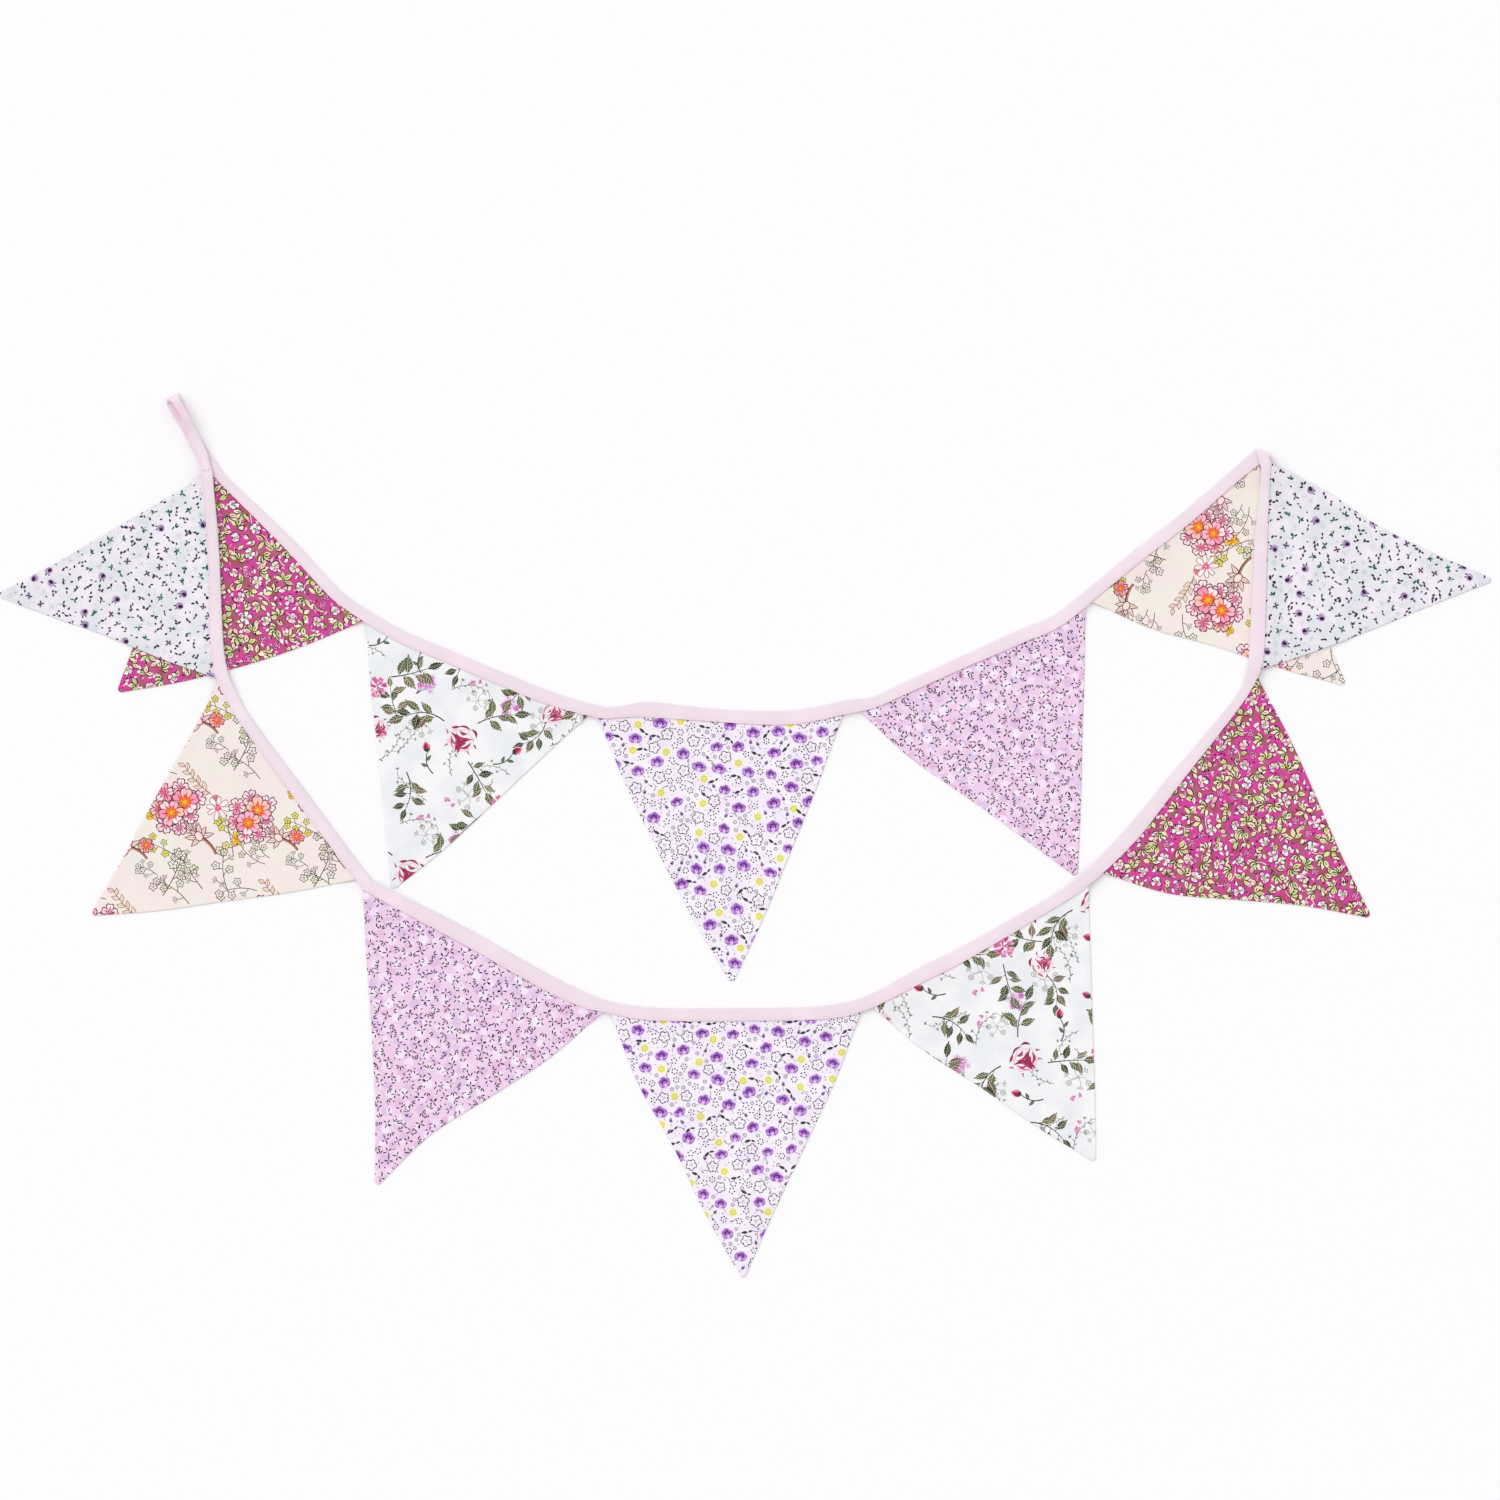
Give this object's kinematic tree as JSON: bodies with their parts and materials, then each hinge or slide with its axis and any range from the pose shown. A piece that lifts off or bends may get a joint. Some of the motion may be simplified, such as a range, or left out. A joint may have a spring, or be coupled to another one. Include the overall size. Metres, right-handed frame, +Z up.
{
  "type": "bunting",
  "caption": "Fabric bunting of triangular printed cotton pennants in a folded binding tape with hanging loops, laid flat and doubled back.",
  "frame": {"origin": "middle of the bounding box, on the surface that the bunting lies on", "axes": "+Z up from the surface, +X to the right of the layout, +Y towards the end with the hanging loops"},
  "size_m": [1.2236, 0.7252, 0.0118],
  "materials": {
    "binding_cotton": "woven",
    "berry_cotton": "woven print",
    "rose_cotton": "woven print",
    "poppy_cotton": "woven print",
    "lilac_cotton": "woven print",
    "blossom_cotton": "woven print",
    "bud_cotton": "woven print"
  },
  "bodies": {
    "root": {"tape": "binding_cotton", "flag_01_berry": "berry_cotton", "flag_02_rose": "rose_cotton", "flag_03_poppy": "poppy_cotton", "flag_04_lilac": "lilac_cotton", "flag_05_blossom": "blossom_cotton", "flag_06_bud": "bud_cotton", "flag_07_berry": "berry_cotton", "flag_08_rose": "rose_cotton", "flag_09_poppy": "poppy_cotton", "flag_10_lilac": "lilac_cotton", "flag_11_blossom": "blossom_cotton", "flag_12_bud": "bud_cotton"}
  },
  "joints": []
}
